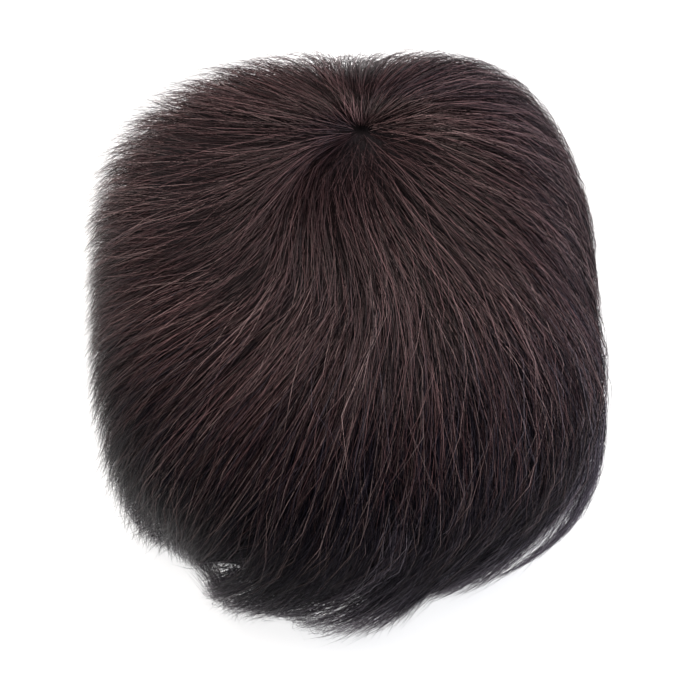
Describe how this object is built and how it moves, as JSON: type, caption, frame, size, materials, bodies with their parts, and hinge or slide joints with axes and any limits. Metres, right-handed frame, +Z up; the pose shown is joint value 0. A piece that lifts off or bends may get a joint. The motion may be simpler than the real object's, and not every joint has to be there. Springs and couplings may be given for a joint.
{
  "type": "short wig",
  "caption": "Short dark brown wig of human hair tied to a hollow net cap, with a whorl at the back of the crown and layered locks that sweep down to a ragged hem.",
  "frame": {"origin": "centre of the bounding box in plan, on the surface that the cap's rim stands on", "axes": "+Z up through the crown, -Y towards the face, +X to the wearer's left"},
  "size_m": [0.1993, 0.2275, 0.134],
  "materials": {
    "human_hair": "satin",
    "knitted_net": "matte"
  },
  "bodies": {
    "root": {"net_cap": "knitted_net", "crown_hair": "human_hair", "left_side_hair": "human_hair", "nape_hair": "human_hair", "right_side_hair": "human_hair", "fringe_hair": "human_hair"}
  },
  "joints": []
}
